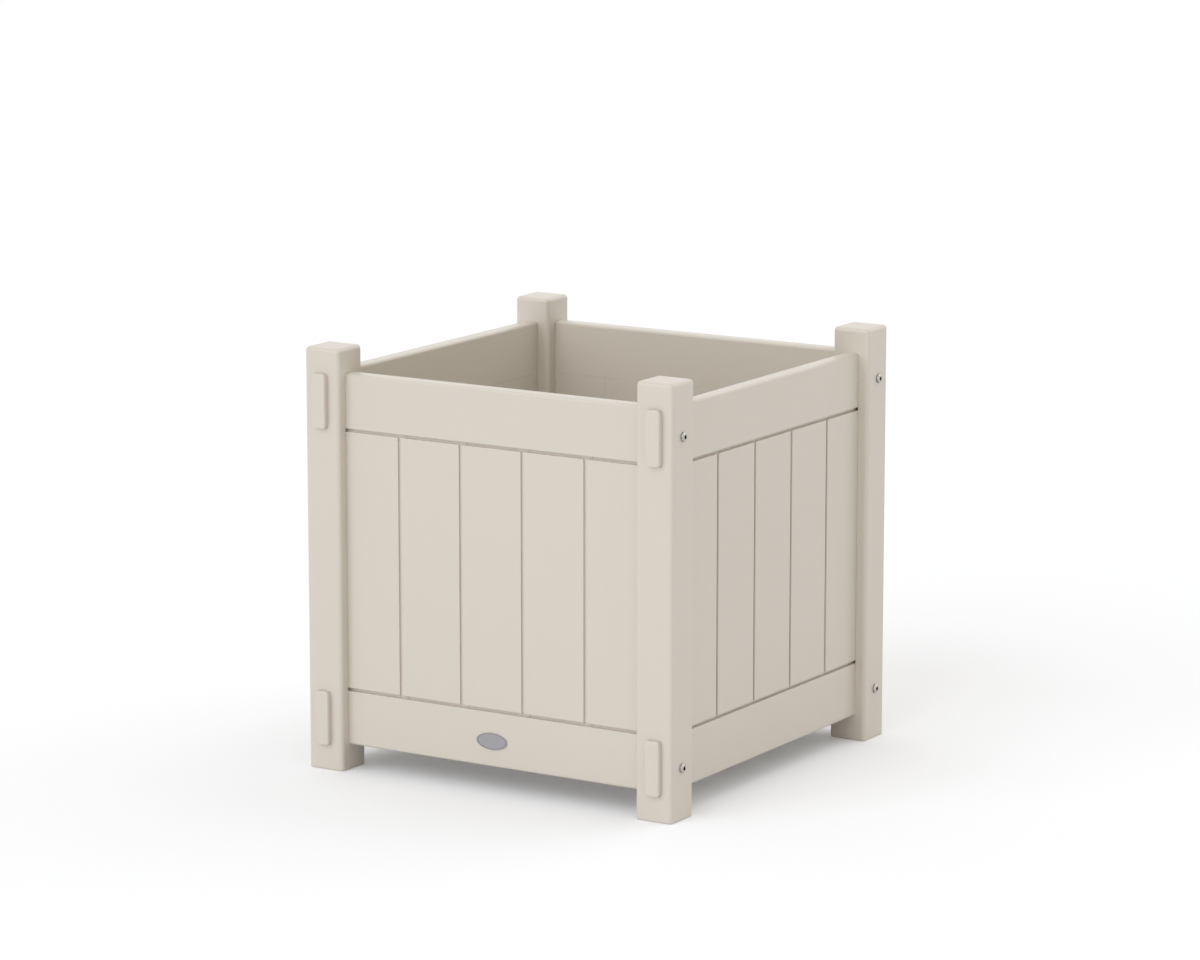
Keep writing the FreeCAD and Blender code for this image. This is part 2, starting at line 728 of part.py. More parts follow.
def make_plate():
    """The blank oval plate with a raised rim, held in the lower front rail by two studs."""
    body = side_body("oval_plate", "front")
    centre = ("0", LOWER_SCREW_LINE)
    face = sketch_across(body, "outline", "y", "0", centre)
    ellipse(face, "plate_length", "plate_width")
    pad(body, face, "plate_thickness", "minus")
    inside = sketch_across(body, "inside_rim", "y", "-plate_thickness", centre)
    ellipse(inside, "plate_length - 2 * plate_rim", "plate_width - 2 * plate_rim")
    pocket(body, inside, "plate_rim_height", "plus")
    studs = sketch_across(body, "studs", "y", "0", centre)
    for sign in ("-", "+"):
        circle(studs, f"{sign} stud_spacing / 2", "0", "stud_size")
    pad(body, studs, "stud_length")
    return body


def make_all():
    """Build every piece and return the bodies."""
    bodies = [make_post(place) for place in POSTS]
    for level in ("top", "bottom"):
        for side in ("front", "back"):
            bodies.append(make_short_rail(side, level))
        for side in ("left", "right"):
            bodies.append(make_through_rail(side, level))
    by_label = {body.Label: body for body in bodies}
    drill_stud_holes(by_label["rail_bottom_front"])
    drill_cleat_screw_holes(by_label["rail_bottom_left"])
    drill_cleat_screw_holes(by_label["rail_bottom_right"])
    for side in SIDES:
        for number in range(1, BOARDS_PER_SIDE + 1):
            bodies.append(make_board(side, number))
    bodies += [make_cleat("left"), make_cleat("right")]
    bodies += [make_slat(number) for number in range(1, FLOOR_SLATS + 1)]
    bodies += [make_frame_screws(), make_slat_screws(), make_cleat_screws(), make_plate()]
    return bodies


def check(bodies):
    """Stop if an object failed, a shape is not sound or a cut took nothing away."""
    for thing in doc.Objects:
        if "Invalid" in thing.State or "Error" in thing.State:
            raise RuntimeError(f"{thing.Label} did not build: {thing.State}")
    for body in bodies:
        if body.Shape.isNull() or not body.Shape.isValid():
            raise RuntimeError(f"{body.Label} has no sound shape")
        for feature in body.Group:
            if feature.TypeId in ("PartDesign::Pocket", "PartDesign::Hole"):
                if feature.Shape.Volume >= feature.BaseFeature.Shape.Volume:
                    raise RuntimeError(f"{feature.Label} takes nothing away")


def write(bodies):
    os.makedirs("parts", exist_ok=True)
    for body in bodies:
        body.Shape.exportStep(f"parts/{body.Label}.step")
        print(body.Label, len(body.Shape.Solids), round(body.Shape.Volume))


bodies = make_all()
doc.recompute()
check(bodies)
write(bodies)
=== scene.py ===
import bmesh
import bpy
import math
from bpy.props import FloatProperty, FloatVectorProperty, PointerProperty
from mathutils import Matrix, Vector


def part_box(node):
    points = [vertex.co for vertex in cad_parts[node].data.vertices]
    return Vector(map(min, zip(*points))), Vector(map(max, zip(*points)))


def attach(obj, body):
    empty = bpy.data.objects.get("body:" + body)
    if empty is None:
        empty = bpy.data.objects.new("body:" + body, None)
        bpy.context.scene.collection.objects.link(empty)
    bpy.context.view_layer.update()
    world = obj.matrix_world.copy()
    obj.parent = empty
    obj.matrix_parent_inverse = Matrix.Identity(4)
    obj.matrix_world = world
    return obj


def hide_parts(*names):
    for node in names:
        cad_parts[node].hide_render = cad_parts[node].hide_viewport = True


bl_info = {
    "name": "Square planter box",
    "version": (1, 0, 0),
    "blender": (4, 5, 0),
    "location": "View3D > Sidebar > Planter",
    "description": "Finishes the packed planter box and sets up a studio to show it in",
    "category": "Object",
}

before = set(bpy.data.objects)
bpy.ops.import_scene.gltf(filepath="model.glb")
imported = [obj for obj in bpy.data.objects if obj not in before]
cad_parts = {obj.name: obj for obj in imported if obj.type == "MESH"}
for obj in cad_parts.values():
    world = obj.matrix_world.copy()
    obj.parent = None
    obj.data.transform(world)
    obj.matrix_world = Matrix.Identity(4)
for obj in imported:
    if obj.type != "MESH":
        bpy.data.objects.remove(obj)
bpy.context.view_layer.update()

BOARDS_PER_SIDE = 5

# The places that patterns line up with, from the boards, screws and plate of the frame
PANEL_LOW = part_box("board_front_1")[0]
PANEL_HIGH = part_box("board_front_5")[1]
SCREWS_LOW, SCREWS_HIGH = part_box("frame_screws")
PLATE_LOW, PLATE_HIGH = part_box("oval_plate")

# Points of a CAD mesh that lie nearer than this are one point
SAME_POINT = 0.000005

# Neighbours that turn by less than FLAT_TURN are one flat face, and an edge between faces
# that turn by more than SHARP_TURN is sharp
FLAT_TURN = math.radians(0.4)
SHARP_TURN = math.radians(35)

# The facets of a rounding are narrower than this, and flat faces that show are wider
WIDEST_FACET = 0.0012

WHITE = (1.0, 1.0, 1.0)
QUARTER_TURN = math.pi / 2


def shown(red, green, blue):
    """The linear colour that shows as these values of 0 to 255 on a screen, by the sRGB curve."""
    offset = 0.055
    return tuple(((value / 255 + offset) / (1 + offset)) ** 2.4 for value in (red, green, blue))


class PlanterLumberSettings(bpy.types.PropertyGroup):
    """The sand-coloured plastic lumber of posts, rails, boards and floor."""

    colour: FloatVectorProperty(
        name="Colour",
        description="Colour of the lumber",
        subtype="COLOR",
        default=shown(215, 207, 195),
        min=0,
        max=1,
    )
    tone_spread: FloatProperty(
        name="Tone spread",
        description="How far streaks, clouds and single boards differ from the colour",
        subtype="FACTOR",
        default=0.018,
        min=0,
        max=1,
    )
    grain_depth: FloatProperty(
        name="Grain depth",
        description="Depth of the brushed grain and the pores",
        subtype="DISTANCE",
        unit="LENGTH",
        default=0.00001,
        min=0,
    )
    channel_width: FloatProperty(
        name="Channel width",
        description="Width of the channels between boards, where the tone of one board ends",
        subtype="DISTANCE",
        unit="LENGTH",
        default=0.004,
        min=0,
    )
    roughness: FloatProperty(
        name="Roughness",
        description="How matt the lumber is",
        subtype="FACTOR",
        default=0.3,
        min=0,
        max=1,
    )
    roughness_spread: FloatProperty(
        name="Roughness spread",
        description="How far worn and dull places differ in roughness",
        subtype="FACTOR",
        default=0.05,
        min=0,
        max=1,
    )
    eased_edge: FloatProperty(
        name="Eased edge",
        description="Width of the small bevel on sawn edges",
        subtype="DISTANCE",
        unit="LENGTH",
        default=0.0004,
        min=0,
    )


class PlanterMetalSettings(bpy.types.PropertyGroup):
    """Screws and the blank oval plate."""

    screw_colour: FloatVectorProperty(
        name="Screw colour",
        description="Colour of the steel screws",
        subtype="COLOR",
        default=shown(200, 196, 189),
        min=0,
        max=1,
    )
    plate_colour: FloatVectorProperty(
        name="Plate colour",
        description="Colour of the oval plate",
        subtype="COLOR",
        default=shown(168, 166, 168),
        min=0,
        max=1,
    )
    screw_head: FloatProperty(
        name="Screw head",
        description="Diameter of the button heads of the frame screws",
        subtype="DISTANCE",
        unit="LENGTH",
        default=0.0111,
        min=0,
    )
    scratch_depth: FloatProperty(
        name="Scratch depth",
        description="Depth of the turning and brushing marks",
        subtype="DISTANCE",
        unit="LENGTH",
        default=0.00003,
        min=0,
    )
    # Painted shade: the screws' sockets and the rims where their heads meet the posts take this
    # colour
    screw_shade_colour: FloatVectorProperty(
        name="Screw shade colour",
        description="Colour in the sockets and at the rims of the screws",
        subtype="COLOR",
        default=shown(14, 11, 9),
        min=0,
        max=1,
    )
    # A thin line of painted shade inside the plate's rim, where the step of the rim stands
    plate_rim_shade_colour: FloatVectorProperty(
        name="Plate rim shade colour",
        description="Colour of the thin line inside the plate's rim",
        subtype="COLOR",
        default=shown(132, 131, 134),
        min=0,
        max=1,
    )


class PlanterStageSettings(bpy.types.PropertyGroup):
    """The floor, the lights and the camera."""

    floor_colour: FloatVectorProperty(
        name="Floor colour",
        description="Colour of the studio floor",
        subtype="COLOR",
        default=(0.92, 0.93, 0.955),
        min=0,
        max=1,
    )
    floor_lift: FloatProperty(
        name="Floor lift",
        description="How much whiter the camera sees the floor than the lights make it",
        default=0.12,
        min=0,
        max=1,
    )
    sky_strength: FloatProperty(
        name="Sky strength",
        description="Strength of the even light from all round",
        default=0.618,
        min=0,
    )
    sky_colour: FloatVectorProperty(
        name="Sky colour",
        description="Colour of the even light",
        subtype="COLOR",
        default=(1.0, 0.982, 0.94),
        min=0,
        max=1,
    )
    key_colour: FloatVectorProperty(
        name="Key colour",
        description="Colour of the key light",
        subtype="COLOR",
        default=(0.9, 0.935, 1.0),
        min=0,
        max=1,
    )
    key_strength: FloatProperty(
        name="Key strength",
        description="Strength of the soft light at the left of the front",
        default=1.06,
        min=0,
    )
    key_azimuth: FloatProperty(
        name="Key azimuth",
        description="Where the key light stands, turned from the front towards the right",
        subtype="ANGLE",
        unit="ROTATION",
        default=math.radians(-14),
    )
    key_elevation: FloatProperty(
        name="Key elevation",
        description="How high the key light stands",
        subtype="ANGLE",
        unit="ROTATION",
        default=math.radians(29),
    )
    top_strength: FloatProperty(
        name="Top strength",
        description="Strength of the soft light above the planter",
        default=0.2,
        min=0,
    )
    back_right_strength: FloatProperty(
        name="Back right strength",
        description="Strength of the soft light behind the planter on the right",
        default=0.54,
        min=0,
    )
    back_left_strength: FloatProperty(
        name="Back left strength",
        description="Strength of the soft light behind the planter on the left",
        default=0.15,
        min=0,
    )
    back_elevation: FloatProperty(
        name="Back elevation",
        description="How high the two back lights stand",
        subtype="ANGLE",
        unit="ROTATION",
        default=math.radians(40),
    )
    softness: FloatProperty(
        name="Softness",
        description="How wide the lights look from the planter",
        subtype="ANGLE",
        unit="ROTATION",
        default=math.radians(56),
    )
    camera_azimuth: FloatProperty(
        name="Camera azimuth",
        description="Where the camera stands, turned from the front towards the right",
        subtype="ANGLE",
        unit="ROTATION",
        default=math.radians(31.904),
    )
    camera_elevation: FloatProperty(
        name="Camera elevation",
        description="How high the camera stands",
        subtype="ANGLE",
        unit="ROTATION",
        default=math.radians(10.978),
    )
    camera_distance: FloatProperty(
        name="Camera distance",
        description="From the camera to the point that it looks at",
        subtype="DISTANCE",
        unit="LENGTH",
        default=5.667,
        min=0.1,
    )
    camera_target: FloatVectorProperty(
        name="Camera target",
        description="The point that the camera looks at",
        subtype="TRANSLATION",
        unit="LENGTH",
        default=(-0.0335, 0.0531, 0.3203),
    )
    camera_lens: FloatProperty(
        name="Camera lens",
        description="Focal length on a sensor 36 mm wide, in millimetres",
        default=140.545,
        min=1,
    )


def feed(tree, socket, value):
    """Give a socket a number, a triple or a colour, or link another node's output to it."""
    if isinstance(value, bpy.types.NodeSocket):
        tree.links.new(value, socket)
    elif socket.type == "RGBA":
        socket.default_value = (*value, 1)
    else:
        socket.default_value = value


def math_node(tree, operation, *values):
    """A math node; each value is a number or another node's output."""
    node = tree.nodes.new("ShaderNodeMath")
    node.operation = operation
    for socket, value in zip(node.inputs, values):
        feed(tree, socket, value)
    return node.outputs["Value"]


def vector_node(tree, operation, *values):
    """A vector math node; each value is a triple or another node's output."""
    node = tree.nodes.new("ShaderNodeVectorMath")
    node.operation = operation
    for socket, value in zip(node.inputs, values):
        feed(tree, socket, value)
    return node.outputs["Value" if operation == "LENGTH" else "Vector"]


def noise_node(tree, vector, scale, detail, roughness=0.5):
    """Soft noise in three directions, finer as the scale rises."""
    node = tree.nodes.new("ShaderNodeTexNoise")
    node.inputs["Scale"].default_value = scale
    node.inputs["Detail"].default_value = detail
    node.inputs["Roughness"].default_value = roughness
    tree.links.new(vector, node.inputs["Vector"])
    return node.outputs["Fac"]


def range_node(tree, value, before, after):
    """Carry values from one pair of ends over to another, and hold them between these."""
    node = tree.nodes.new("ShaderNodeMapRange")
    tree.links.new(value, node.inputs["Value"])
    node.inputs["From Min"].default_value, node.inputs["From Max"].default_value = before
    node.inputs["To Min"].default_value, node.inputs["To Max"].default_value = after
    return node.outputs["Result"]


def mix_node(tree, factor, first, second):
    """A colour between two, by a factor; each is a colour or another node's output."""
    node = tree.nodes.new("ShaderNodeMix")
    node.data_type = "RGBA"
    tree.links.new(factor, node.inputs["Factor"])
    colours = [socket for socket in node.inputs if socket.type == "RGBA"]
    for socket, value in zip(colours, (first, second)):
        feed(tree, socket, value)
    return next(socket for socket in node.outputs if socket.type == "RGBA")


def mixture(tree, patterns, shares):
    """The sum of the named patterns, each times its share."""
    total = 0.0
    for name, share in shares.items():
        total = math_node(tree, "MULTIPLY_ADD", patterns[name], share, total)
    return total


def scaled(colour, share):
    """A colour at a share of its brightness."""
    return [channel * share for channel in colour]


def new_group(name, inputs, outputs):
    """An empty shader node group with named sockets; returns it with its two end nodes."""
    group = bpy.data.node_groups.new(name, "ShaderNodeTree")
    for side, sockets in (("INPUT", inputs), ("OUTPUT", outputs)):
        for label, kind in sockets.items():
            group.interface.new_socket(label, in_out=side, socket_type=kind)
    return group, group.nodes.new("NodeGroupInput"), group.nodes.new("NodeGroupOutput")


def new_material(name):
    """A material with nodes; returns it with its node tree and its shader."""
    material = bpy.data.materials.new(name)
    material.use_nodes = True
    return material, material.node_tree, material.node_tree.nodes["Principled BSDF"]


def object_place(tree):
    """Where a point is on the planter: every piece has its object at the origin."""
    return tree.nodes.new("ShaderNodeTexCoord").outputs["Object"]


def add_bump(tree, shader, height, strength, depth):
    """Fine relief on a surface."""
    bump = tree.nodes.new("ShaderNodeBump")
    bump.inputs["Strength"].default_value = strength
    bump.inputs["Distance"].default_value = depth
    tree.links.new(height, bump.inputs["Height"])
    tree.links.new(bump.outputs["Normal"], shader.inputs["Normal"])


# Lumber: what each pattern adds to the tone, what pits take from the height, and how often
# streaks repeat along the grain, as a share of how often they do across it
LUMBER_TONE_SHARES = {"bands": 0.25, "streaks": 0.45, "clouds": 0.5, "board": 0.12, "pits": -0.3}
PIT_DEPTH_SHARE = -0.8
ALONG_GRAIN_SHARE = 0.03

# The noise between which a pore deepens to a pit, and the lumber's darkest and lightest tone
PIT_NOISE_RANGE = (0.62, 0.78)
LUMBER_TONE_RANGE = (0.35, 0.95)
LUMBER_BUMP = 0.4

# How the grain of each kind of piece is turned from upright
GRAIN_TURNS = {
    "upright": (0, 0, 0),
    "across": (0, QUARTER_TURN, 0),
    "deep": (QUARTER_TURN, 0, 0),
}


def lumber_grain_group():
    """Brushed streaks along Z, soft clouds, pores, and a tone of its own for each board."""
    name = "lumber_grain"
    if name in bpy.data.node_groups:
        return bpy.data.node_groups[name]
    group, start, end = new_group(
        name,
        {"Vector": "NodeSocketVector", "Cell": "NodeSocketVector"},
        {"Tone": "NodeSocketFloat", "Height": "NodeSocketFloat"},
    )
    vector = start.outputs["Vector"]
    stretched = vector_node(group, "MULTIPLY", vector, (1.0, 1.0, ALONG_GRAIN_SHARE))
    pores = noise_node(group, vector, scale=1300, detail=1)
    board = group.nodes.new("ShaderNodeTexWhiteNoise")
    group.links.new(start.outputs["Cell"], board.inputs["Vector"])
    streaks = noise_node(group, stretched, scale=1500, detail=3, roughness=0.6)
    pits = range_node(group, pores, PIT_NOISE_RANGE, (0, 1))
    patterns = {
        "streaks": streaks,
        "bands": noise_node(group, stretched, scale=160, detail=2),
        "clouds": noise_node(group, vector, scale=16, detail=3),
        "pits": pits,
        "board": board.outputs["Value"],
    }
    tone = mixture(group, patterns, LUMBER_TONE_SHARES)
    height = math_node(group, "MULTIPLY_ADD", pits, PIT_DEPTH_SHARE, streaks)
    group.links.new(tone, end.inputs["Tone"])
    group.links.new(height, end.inputs["Height"])
    return group


def lumber_material(run):
    """Plastic lumber whose grain runs upright, across or deep."""
    name = f"lumber_{run}"
    if name in bpy.data.materials:
        return bpy.data.materials[name]
    settings = bpy.context.scene.planter_lumber
    material, tree, shader = new_material(name)
    place = object_place(tree)
    turned = tree.nodes.new("ShaderNodeMapping")
    turned.inputs["Rotation"].default_value = GRAIN_TURNS[run]
    tree.links.new(place, turned.inputs["Vector"])
    # The cells are as wide as the boards and end in the middle of the channels
    pitch = (PANEL_HIGH.x - PANEL_LOW.x) / BOARDS_PER_SIDE
    first = PANEL_LOW.x + settings.channel_width / 2
    shifted = vector_node(tree, "SUBTRACT", place, (first, first, 0.0))
    cell = vector_node(tree, "FLOOR", vector_node(tree, "DIVIDE", shifted, (pitch, pitch, 1.0)))
    grain = tree.nodes.new("ShaderNodeGroup")
    grain.node_tree = lumber_grain_group()
    tree.links.new(turned.outputs["Vector"], grain.inputs["Vector"])
    tree.links.new(cell, grain.inputs["Cell"])
    tone = range_node(tree, grain.outputs["Tone"], LUMBER_TONE_RANGE, (0, 1))
    light = scaled(settings.colour, 1 + settings.tone_spread / 2)
    dark = scaled(settings.colour, 1 - settings.tone_spread / 2)
    feed(tree, shader.inputs["Base Color"], mix_node(tree, tone, dark, light))
    dull = settings.roughness + settings.roughness_spread / 2
    polished = settings.roughness - settings.roughness_spread / 2
    feed(tree, shader.inputs["Roughness"], range_node(tree, tone, (0, 1), (dull, polished)))
    add_bump(tree, shader, grain.outputs["Height"], LUMBER_BUMP, settings.grain_depth)
    return material


# Steel: what rings and haze add to its wear, how bright its darkest places are, how fine
# the rings are, and which roughness goes with which wear
WEAR_SHARES = {"rings": 0.4, "haze": 0.6}
STEEL_DARK_SHARE = 0.8
RING_SCALE = 6000
STEEL_WEAR_RANGE = (0.3, 0.7)
STEEL_ROUGHNESS_RANGE = (0.2, 0.4)

# Painted shade, as shares of the head's radius: where the socket's fades out, how far that of the
# rim reaches, and how strong it is there
SOCKET_SHADE_SHARES = (0.38, 0.44)
SCREW_RIM_SHADE_SHARE = 0.04
SCREW_RIM_SHADE_STRENGTH_SHARE = 0.3

METAL_BUMP = 0.3


def steel_material():
    """Turned stainless steel: fine rings round each screw of the frame, a light haze, and painted
    shade in the sockets and at the rims.
    """
    name = "turned_steel"
    if name in bpy.data.materials:
        return bpy.data.materials[name]
    settings = bpy.context.scene.planter_metal
    material, tree, shader = new_material(name)
    shader.inputs["Metallic"].default_value = 1
    place = object_place(tree)
    # Folding the place about the middle brings every screw's axis onto one line
    middle = (SCREWS_LOW + SCREWS_HIGH) / 2
    half_head = settings.screw_head / 2
    head = (SCREWS_HIGH.z - SCREWS_LOW.z) / 2 - half_head
    side = (SCREWS_HIGH.y - SCREWS_LOW.y) / 2 - half_head
    folded = vector_node(tree, "ABSOLUTE", vector_node(tree, "SUBTRACT", place, tuple(middle)))
    near = vector_node(tree, "SUBTRACT", folded, (0.0, side, head))
    radius = vector_node(tree, "LENGTH", vector_node(tree, "MULTIPLY", near, (0.0, 1.0, 1.0)))
    ring = tree.nodes.new("ShaderNodeTexNoise")
    ring.noise_dimensions = "1D"
    ring.inputs["Scale"].default_value = RING_SCALE
    tree.links.new(radius, ring.inputs["W"])
    rings = ring.outputs["Fac"]
    haze = noise_node(tree, place, scale=400, detail=3)
    wear = mixture(tree, {"rings": rings, "haze": haze}, WEAR_SHARES)
    dark = scaled(settings.screw_colour, STEEL_DARK_SHARE)
    colour = mix_node(tree, wear, dark, settings.screw_colour)
    # Painted shade in the socket and in the corner where the head meets the post
    reach = math_node(tree, "DIVIDE", radius, half_head)
    socket = range_node(tree, reach, SOCKET_SHADE_SHARES, (1, 0))
    rim = math_node(tree, "COMPARE", reach, 1.0, SCREW_RIM_SHADE_SHARE)
    faint_rim_shade = math_node(tree, "MULTIPLY", rim, SCREW_RIM_SHADE_STRENGTH_SHARE)
    painted_shade = math_node(tree, "MAXIMUM", socket, faint_rim_shade)
    rough = range_node(tree, wear, STEEL_WEAR_RANGE, STEEL_ROUGHNESS_RANGE)
    feed(tree, shader.inputs["Base Color"], mix_node(tree, painted_shade, colour, settings.screw_shade_colour))
    feed(tree, shader.inputs["Roughness"], rough)
    add_bump(tree, shader, rings, METAL_BUMP, settings.scratch_depth)
    return material


# Plate: how much of a metal it is, what each pattern adds to its tone, how bright its
# darkest places are, and how fine the brushing is along and across
PLATE_METALLIC = 0.35
PLATE_TONE_SHARES = {"clouds": 0.5, "brushed": 0.5}
PLATE_DARK_SHARE = 0.88
PLATE_ROUGHNESS_RANGE = (0.38, 0.55)
BRUSH_SCALES = (60.0, 4000.0, 4000.0)

# Where the painted shade inside the rim lies and how far it reaches to each side, as shares of the
# way from the plate's middle to its edge
PLATE_RIM_SHADE_SHARE = 0.91
PLATE_RIM_SHADE_REACH_SHARE = 0.025


def plate_material():
    """Satin grey metal brushed lengthwise, with a thin line of painted shade inside the rim."""
    name = "brushed_plate"
    if name in bpy.data.materials:
        return bpy.data.materials[name]
    settings = bpy.context.scene.planter_metal
    material, tree, shader = new_material(name)
    shader.inputs["Metallic"].default_value = PLATE_METALLIC
    place = object_place(tree)
    middle = (PLATE_LOW + PLATE_HIGH) / 2
    half = (PLATE_HIGH - PLATE_LOW) / 2
    centred = vector_node(tree, "SUBTRACT", place, tuple(middle))
    oval = vector_node(tree, "MULTIPLY", centred, (1 / half.x, 0.0, 1 / half.z))
    reach = vector_node(tree, "LENGTH", oval)
    # A thin ring of painted shade just inside the rim
    line = math_node(tree, "COMPARE", reach, PLATE_RIM_SHADE_SHARE, PLATE_RIM_SHADE_REACH_SHARE)
    stretched = vector_node(tree, "MULTIPLY", place, BRUSH_SCALES)
    brushed = noise_node(tree, stretched, scale=1, detail=3)
    clouds = noise_node(tree, place, scale=120, detail=2)
    tone = mixture(tree, {"clouds": clouds, "brushed": brushed}, PLATE_TONE_SHARES)
    dark = scaled(settings.plate_colour, PLATE_DARK_SHARE)
    face = mix_node(tree, tone, dark, settings.plate_colour)
    feed(tree, shader.inputs["Base Color"], mix_node(tree, line, face, settings.plate_rim_shade_colour))
    feed(tree, shader.inputs["Roughness"], range_node(tree, tone, (0, 1), PLATE_ROUGHNESS_RANGE))
    add_bump(tree, shader, brushed, METAL_BUMP, settings.scratch_depth)
    return material


def finish_piece(piece, material):
    """Give a piece its one material; a CAD node takes it in the slots of its object."""
    if not piece.material_slots:
        piece.data.materials.append(material)
    for slot in piece.material_slots:
        slot.link = "OBJECT"
        slot.material = material


def new_object(name, shape):
    """Put a finished bmesh into the scene as an object."""
    mesh = bpy.data.meshes.new(name)
    shape.to_mesh(mesh)
    shape.free()
    thing = bpy.data.objects.new(name, mesh)
    bpy.context.scene.collection.objects.link(thing)
    return thing


def ease_edges(shape, width):
    """A small round bevel on each sharp outer edge."""
    sharp = [
        edge
        for edge in shape.edges
        if edge.is_manifold and edge.is_convex and edge.calc_face_angle() > SHARP_TURN
    ]
    bmesh.ops.bevel(
        shape,
        geom=sharp,
        offset=width,
        offset_type="OFFSET",
        segments=2,
        profile=0.5,
        affect="EDGES",
        clamp_overlap=False,
        loop_slide=True,
        material=-1,
    )


def eased_copy(node, width):
    """A copy of a CAD piece with its sharp outer edges eased, which stands for the piece.

    Without a width it keeps its edges, as the posts do: easing would open their joints."""
    shape = bmesh.new()
    shape.from_mesh(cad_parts[node].data)
    bmesh.ops.remove_doubles(shape, verts=shape.verts, dist=SAME_POINT)
    bmesh.ops.dissolve_limit(
        shape,
        angle_limit=FLAT_TURN,
        use_dissolve_boundaries=False,
        verts=shape.verts,
        edges=shape.edges,
    )
    if width:
        ease_edges(shape, width)
    # A flat face that was joined with a sliver of a rounding is shaded flat again
    for face in shape.faces:
        mean_width = 2 * face.calc_area() / face.calc_perimeter()
        if mean_width > WIDEST_FACET:
            face.smooth = False
    piece = new_object(f"{node}_eased", shape)
    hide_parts(node)
    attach(piece, "root")
    return piece


def finish_lumber(start, material, eased=True):
    """Copy and finish every lumber piece whose name starts this way."""
    width = bpy.context.scene.planter_lumber.eased_edge if eased else 0
    names = sorted(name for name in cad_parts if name.startswith(start))
    if not names:
        raise RuntimeError(f"the frame has no piece that starts with {start}")
    for name in names:
        finish_piece(eased_copy(name, width), material)


class PLANTER_OT_posts(bpy.types.Operator):
    """Finish the four corner posts"""

    bl_idname = "planter.posts"
    bl_label = "Corner posts"

    def execute(self, context):
        finish_lumber("post_", lumber_material("upright"), eased=False)
        return {"FINISHED"}


class PLANTER_OT_rails(bpy.types.Operator):
    """Finish the upper and lower rails with their tenon ends"""

    bl_idname = "planter.rails"
    bl_label = "Rails"

    def execute(self, context):
        for level in ("top", "bottom"):
            for side in ("front", "back"):
                finish_lumber(f"rail_{level}_{side}", lumber_material("across"))
            for side in ("left", "right"):
                finish_lumber(f"rail_{level}_{side}", lumber_material("deep"))
        return {"FINISHED"}


class PLANTER_OT_boards(bpy.types.Operator):
    """Finish the upright boards of the four sides"""

    bl_idname = "planter.boards"
    bl_label = "Boards"

    def execute(self, context):
        finish_lumber("board_", lumber_material("upright"))
        return {"FINISHED"}


class PLANTER_OT_floor(bpy.types.Operator):
    """Finish the floor slats and the cleats under them"""

    bl_idname = "planter.floor"
    bl_label = "Slatted floor"

    def execute(self, context):
        finish_lumber("floor_slat_", lumber_material("across"))
        finish_lumber("floor_cleat_", lumber_material("deep"))
        return {"FINISHED"}


class PLANTER_OT_screws(bpy.types.Operator):
    """Finish the frame screws and the countersunk screws"""

    bl_idname = "planter.screws"
    bl_label = "Screws"

    def execute(self, context):
        for name in ("frame_screws", "slat_screws", "cleat_screws"):
            finish_piece(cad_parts[name], steel_material())
        return {"FINISHED"}


class PLANTER_OT_plate(bpy.types.Operator):
    """Finish the blank oval plate"""

    bl_idname = "planter.plate"
    bl_label = "Oval plate"

    def execute(self, context):
        finish_piece(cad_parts["oval_plate"], plate_material())
        return {"FINISHED"}


# The studio: how far the floor reaches, where the lights beside the key light stand, how
# far off the lights are drawn, and how far the camera sees
FLOOR_REACH = 40
TOP_AZIMUTH = math.radians(180)
TOP_ELEVATION = math.radians(89)
BACK_RIGHT_AZIMUTH = math.radians(150)
BACK_LEFT_AZIMUTH = math.radians(-120)
LIGHT_DISTANCE = 4
CAMERA_REACH = 200

# The width of the camera's sensor in millimetres, which its lens is given for
SENSOR_WIDTH = 36


def floor_material():
    """Matt floor; its lift is seen by the camera only and lights nothing."""
    settings = bpy.context.scene.planter_stage
    material, tree, shader = new_material("studio_floor")
    feed(tree, shader.inputs["Base Color"], settings.floor_colour)
    feed(tree, shader.inputs["Emission Color"], WHITE)
    shader.inputs["Roughness"].default_value = 1
    shader.inputs["Specular IOR Level"].default_value = 0
    path = tree.nodes.new("ShaderNodeLightPath")
    lift = math_node(tree, "MULTIPLY", path.outputs["Is Camera Ray"], settings.floor_lift)
    tree.links.new(lift, shader.inputs["Emission Strength"])
    return material


def make_floor():
    """A wide level floor that the planter stands on."""
    shape = bmesh.new()
    bmesh.ops.create_grid(shape, x_segments=1, y_segments=1, size=FLOOR_REACH)
    floor = new_object("studio_floor", shape)
    finish_piece(floor, floor_material())


def make_sky():
    """Even light from all round, white where the camera or a reflection sees it."""
    settings = bpy.context.scene.planter_stage
    world = bpy.data.worlds.new("studio_sky")
    world.use_nodes = True
    tree = world.node_tree
    background = tree.nodes["Background"]
    path = tree.nodes.new("ShaderNodeLightPath")
    seen = math_node(tree, "MAXIMUM", path.outputs["Is Camera Ray"], path.outputs["Is Glossy Ray"])
    seen = math_node(tree, "MAXIMUM", seen, path.outputs["Is Transmission Ray"])
    feed(tree, background.inputs["Color"], mix_node(tree, seen, settings.sky_colour, WHITE))
    strength = range_node(tree, seen, (0, 1), (settings.sky_strength, 1))
    feed(tree, background.inputs["Strength"], strength)
    bpy.context.scene.world = world


def direction(azimuth, elevation):
    """Unit vector to a place turned from the front towards the right, and raised."""
    level = math.cos(elevation)
    return Vector((math.sin(azimuth) * level, -math.cos(azimuth) * level, math.sin(elevation)))


def make_light(name, strength, azimuth, elevation, colour=WHITE):
    """A wide soft light from one direction."""
    lamp = bpy.data.lights.new(name, "SUN")
    lamp.energy = strength
    lamp.color = colour
    lamp.angle = bpy.context.scene.planter_stage.softness
    light = bpy.data.objects.new(name, lamp)
    bpy.context.scene.collection.objects.link(light)
    towards = direction(azimuth, elevation)
    light.rotation_euler = towards.to_track_quat("Z", "Y").to_euler()
    light.location = towards * LIGHT_DISTANCE


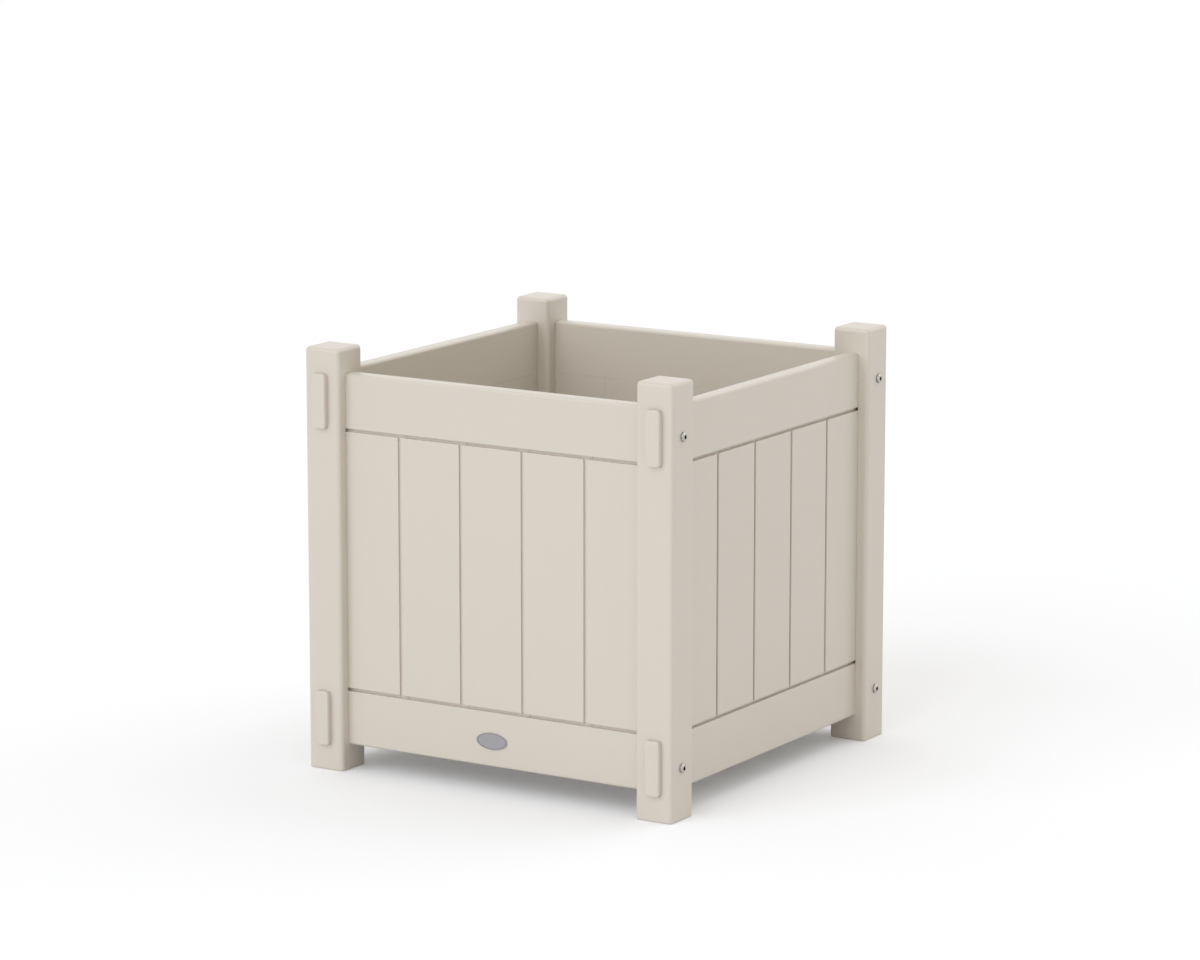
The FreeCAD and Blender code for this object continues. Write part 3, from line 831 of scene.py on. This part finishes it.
def make_lights():
    """The key light in front of the planter, one light above it and two behind."""
    settings = bpy.context.scene.planter_stage
    make_light(
        "key_light",
        settings.key_strength,
        settings.key_azimuth,
        settings.key_elevation,
        settings.key_colour,
    )
    make_light("top_light", settings.top_strength, TOP_AZIMUTH, TOP_ELEVATION)
    for name, strength, azimuth in (
        ("back_right_light", settings.back_right_strength, BACK_RIGHT_AZIMUTH),
        ("back_left_light", settings.back_left_strength, BACK_LEFT_AZIMUTH),
    ):
        make_light(name, strength, azimuth, settings.back_elevation)


def make_camera():
    """The camera, level from side to side and aimed at its target."""
    settings = bpy.context.scene.planter_stage
    lens = bpy.data.cameras.new("camera")
    lens.sensor_fit = "HORIZONTAL"
    lens.sensor_width = SENSOR_WIDTH
    lens.lens = settings.camera_lens
    lens.clip_end = CAMERA_REACH
    camera = bpy.data.objects.new("camera", lens)
    bpy.context.scene.collection.objects.link(camera)
    back = direction(settings.camera_azimuth, settings.camera_elevation)
    camera.location = Vector(settings.camera_target) + back * settings.camera_distance
    camera.rotation_euler = (QUARTER_TURN - settings.camera_elevation, 0, settings.camera_azimuth)
    bpy.context.scene.camera = camera


class PLANTER_OT_stage(bpy.types.Operator):
    """Make the floor, the light and the camera"""

    bl_idname = "planter.stage"
    bl_label = "Studio"

    def execute(self, context):
        context.scene.view_settings.view_transform = "Standard"
        make_floor()
        make_sky()
        make_lights()
        make_camera()
        return {"FINISHED"}


OPERATORS = (
    PLANTER_OT_posts,
    PLANTER_OT_rails,
    PLANTER_OT_boards,
    PLANTER_OT_floor,
    PLANTER_OT_screws,
    PLANTER_OT_plate,
    PLANTER_OT_stage,
)


class PLANTER_PT_panel(bpy.types.Panel):
    """The planter's pieces and settings in the 3D view's sidebar"""

    bl_idname = "PLANTER_PT_panel"
    bl_label = "Planter"
    bl_space_type = "VIEW_3D"
    bl_region_type = "UI"
    bl_category = "Planter"

    def draw(self, context):
        for operator in OPERATORS:
            self.layout.operator(operator.bl_idname)
        for settings in SETTINGS:
            group = getattr(context.scene, settings)
            for key in group.__annotations__:
                self.layout.prop(group, key)


SETTINGS = {
    "planter_lumber": PlanterLumberSettings,
    "planter_metal": PlanterMetalSettings,
    "planter_stage": PlanterStageSettings,
}


def register():
    for name, settings in SETTINGS.items():
        bpy.utils.register_class(settings)
        setattr(bpy.types.Scene, name, PointerProperty(type=settings))
    for part in (*OPERATORS, PLANTER_PT_panel):
        bpy.utils.register_class(part)


def unregister():
    for part in (PLANTER_PT_panel, *reversed(OPERATORS)):
        bpy.utils.unregister_class(part)
    for name, settings in SETTINGS.items():
        delattr(bpy.types.Scene, name)
        bpy.utils.unregister_class(settings)


def main():
    register()
    bpy.ops.planter.posts()
    bpy.ops.planter.rails()
    bpy.ops.planter.boards()
    bpy.ops.planter.floor()
    bpy.ops.planter.screws()
    bpy.ops.planter.plate()
    bpy.ops.planter.stage()


if __name__ == "__main__":
    main()
